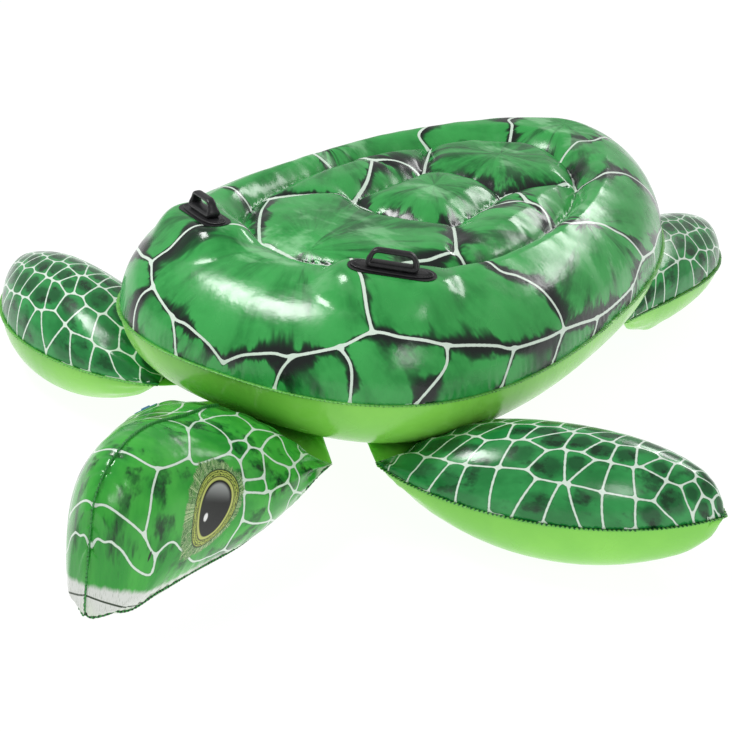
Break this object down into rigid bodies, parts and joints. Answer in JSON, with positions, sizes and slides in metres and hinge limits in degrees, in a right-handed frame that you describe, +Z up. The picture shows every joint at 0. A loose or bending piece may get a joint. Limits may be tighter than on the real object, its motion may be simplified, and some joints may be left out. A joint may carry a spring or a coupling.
{
  "type": "inflatable ride-on pool float",
  "caption": "Turtle-shaped inflatable pool float: padded oval shell to sit on, jointed flippers and head, moulded grab handles and push-in air valves.",
  "frame": {"origin": "centre of the shell's flat underside", "axes": "+Z up, -Y towards the head, +X towards the turtle's left flippers"},
  "size_m": [1.568, 1.9585, 0.4771],
  "materials": {
    "printed_film": "glossy printed PVC film, mottled green with white lines",
    "lime_film": "glossy plain lime-green PVC film",
    "head_film": "glossy printed PVC film with scales, eye and mouth",
    "clear_film": "translucent PVC film, welded",
    "handle_black": "satin black moulded flexible PVC",
    "valve_blue": "soft translucent blue PVC moulding",
    "valve_grey": "soft grey PVC moulding"
  },
  "bodies": {
    "shell": {"shell_top_sheet": "printed_film", "shell_bottom_sheet": "lime_film", "ring_inner_wall": "clear_film", "saddle_rear_strip": "clear_film", "dome_front_strip": "clear_film", "side_strip_front_left": "clear_film", "side_strip_middle_left": "clear_film", "side_strip_rear_left": "clear_film", "side_strip_front_right": "clear_film", "side_strip_middle_right": "clear_film", "side_strip_rear_right": "clear_film", "handle_pad_left": "handle_black", "handle_grip_left": "handle_black", "handle_pad_right": "handle_black", "handle_grip_right": "handle_black", "front_left_weld_tab": "lime_film", "front_right_weld_tab": "lime_film", "rear_left_weld_tab": "lime_film", "rear_right_weld_tab": "lime_film", "neck_weld_tab": "lime_film", "seat_valve_flange": "valve_blue", "ring_valve_flange": "valve_grey"},
    "front_left_flipper": {"front_left_flipper_top": "printed_film", "front_left_flipper_bottom": "lime_film", "front_left_flipper_valve_flange": "valve_blue"},
    "front_right_flipper": {"front_right_flipper_top": "printed_film", "front_right_flipper_bottom": "lime_film", "front_right_flipper_valve_flange": "valve_blue"},
    "rear_left_flipper": {"rear_left_flipper_top": "printed_film", "rear_left_flipper_bottom": "lime_film", "rear_left_flipper_valve_flange": "valve_blue"},
    "rear_right_flipper": {"rear_right_flipper_top": "printed_film", "rear_right_flipper_bottom": "lime_film", "rear_right_flipper_valve_flange": "valve_blue"},
    "head": {"head_left_panel": "head_film", "head_right_panel": "head_film", "head_bottom_panel": "head_film", "head_valve_flange": "valve_blue"},
    "seat_valve_stem": {"seat_valve_stem": "valve_blue", "seat_valve_check_flap": "clear_film"},
    "seat_valve_cap": {"seat_valve_cap": "valve_blue"},
    "ring_valve_stem": {"ring_valve_stem": "valve_grey", "ring_valve_check_flap": "clear_film"},
    "ring_valve_cap": {"ring_valve_cap": "valve_grey"},
    "head_valve_stem": {"head_valve_stem": "valve_blue", "head_valve_check_flap": "clear_film"},
    "head_valve_cap": {"head_valve_cap": "valve_blue"},
    "front_left_flipper_valve_stem": {"front_left_flipper_valve_stem": "valve_blue", "front_left_flipper_valve_check_flap": "clear_film"},
    "front_left_flipper_valve_cap": {"front_left_flipper_valve_cap": "valve_blue"},
    "front_right_flipper_valve_stem": {"front_right_flipper_valve_stem": "valve_blue", "front_right_flipper_valve_check_flap": "clear_film"},
    "front_right_flipper_valve_cap": {"front_right_flipper_valve_cap": "valve_blue"},
    "rear_left_flipper_valve_stem": {"rear_left_flipper_valve_stem": "valve_blue", "rear_left_flipper_valve_check_flap": "clear_film"},
    "rear_left_flipper_valve_cap": {"rear_left_flipper_valve_cap": "valve_blue"},
    "rear_right_flipper_valve_stem": {"rear_right_flipper_valve_stem": "valve_blue", "rear_right_flipper_valve_check_flap": "clear_film"},
    "rear_right_flipper_valve_cap": {"rear_right_flipper_valve_cap": "valve_blue"}
  },
  "joints": [
    {"name": "front_left_flipper_droop", "type": "hinge", "parent": "shell", "child": "front_left_flipper", "pos_m": [0.28, -0.387, -0.0025], "axis": [0.3185, 0.9479, 0], "range_deg": [0, 30]},
    {"name": "front_right_flipper_droop", "type": "hinge", "parent": "shell", "child": "front_right_flipper", "pos_m": [-0.28, -0.387, -0.0025], "axis": [0.3185, -0.9479, 0], "range_deg": [0, 30]},
    {"name": "rear_left_flipper_droop", "type": "hinge", "parent": "shell", "child": "rear_left_flipper", "pos_m": [0.209, 0.376, -0.0025], "axis": [-0.6, 0.8, 0], "range_deg": [0, 30]},
    {"name": "rear_right_flipper_droop", "type": "hinge", "parent": "shell", "child": "rear_right_flipper", "pos_m": [-0.209, 0.376, -0.0025], "axis": [-0.6, -0.8, 0], "range_deg": [0, 30]},
    {"name": "head_nod", "type": "hinge", "parent": "shell", "child": "head", "pos_m": [0, -0.563, -0.0025], "axis": [1, 0, 0], "range_deg": [-6, 25]},
    {"name": "seat_valve_stem_pull", "type": "slide", "parent": "shell", "child": "seat_valve_stem", "axis": [-0.2849, 0.3607, 0.8881], "range_m": [0, 0.012]},
    {"name": "seat_valve_cap_pull", "type": "slide", "parent": "seat_valve_stem", "child": "seat_valve_cap", "axis": [-0.2849, 0.3607, 0.8881], "range_m": [0, 0.01]},
    {"name": "ring_valve_stem_pull", "type": "slide", "parent": "shell", "child": "ring_valve_stem", "axis": [-0.096, 0.4513, 0.8872], "range_m": [0, 0.012]},
    {"name": "ring_valve_cap_pull", "type": "slide", "parent": "ring_valve_stem", "child": "ring_valve_cap", "axis": [-0.096, 0.4513, 0.8872], "range_m": [0, 0.01]},
    {"name": "head_valve_stem_pull", "type": "slide", "parent": "head", "child": "head_valve_stem", "axis": [-0.5843, 0.0447, 0.8103], "range_m": [0, 0.012]},
    {"name": "head_valve_cap_pull", "type": "slide", "parent": "head_valve_stem", "child": "head_valve_cap", "axis": [-0.5843, 0.0447, 0.8103], "range_m": [0, 0.01]},
    {"name": "front_left_flipper_valve_stem_pull", "type": "slide", "parent": "front_left_flipper", "child": "front_left_flipper_valve_stem", "axis": [-0.5667, 0.0401, -0.823], "range_m": [0, 0.012]},
    {"name": "front_left_flipper_valve_cap_pull", "type": "slide", "parent": "front_left_flipper_valve_stem", "child": "front_left_flipper_valve_cap", "axis": [-0.5667, 0.0401, -0.823], "range_m": [0, 0.01]},
    {"name": "front_right_flipper_valve_stem_pull", "type": "slide", "parent": "front_right_flipper", "child": "front_right_flipper_valve_stem", "axis": [0.5667, 0.0401, -0.823], "range_m": [0, 0.012]},
    {"name": "front_right_flipper_valve_cap_pull", "type": "slide", "parent": "front_right_flipper_valve_stem", "child": "front_right_flipper_valve_cap", "axis": [0.5667, 0.0401, -0.823], "range_m": [0, 0.01]},
    {"name": "rear_left_flipper_valve_stem_pull", "type": "slide", "parent": "rear_left_flipper", "child": "rear_left_flipper_valve_stem", "axis": [-0.1616, -0.3701, -0.9148], "range_m": [0, 0.012]},
    {"name": "rear_left_flipper_valve_cap_pull", "type": "slide", "parent": "rear_left_flipper_valve_stem", "child": "rear_left_flipper_valve_cap", "axis": [-0.1616, -0.3701, -0.9148], "range_m": [0, 0.01]},
    {"name": "rear_right_flipper_valve_stem_pull", "type": "slide", "parent": "rear_right_flipper", "child": "rear_right_flipper_valve_stem", "axis": [0.1616, -0.3701, -0.9148], "range_m": [0, 0.012]},
    {"name": "rear_right_flipper_valve_cap_pull", "type": "slide", "parent": "rear_right_flipper_valve_stem", "child": "rear_right_flipper_valve_cap", "axis": [0.1616, -0.3701, -0.9148], "range_m": [0, 0.01]}
  ]
}
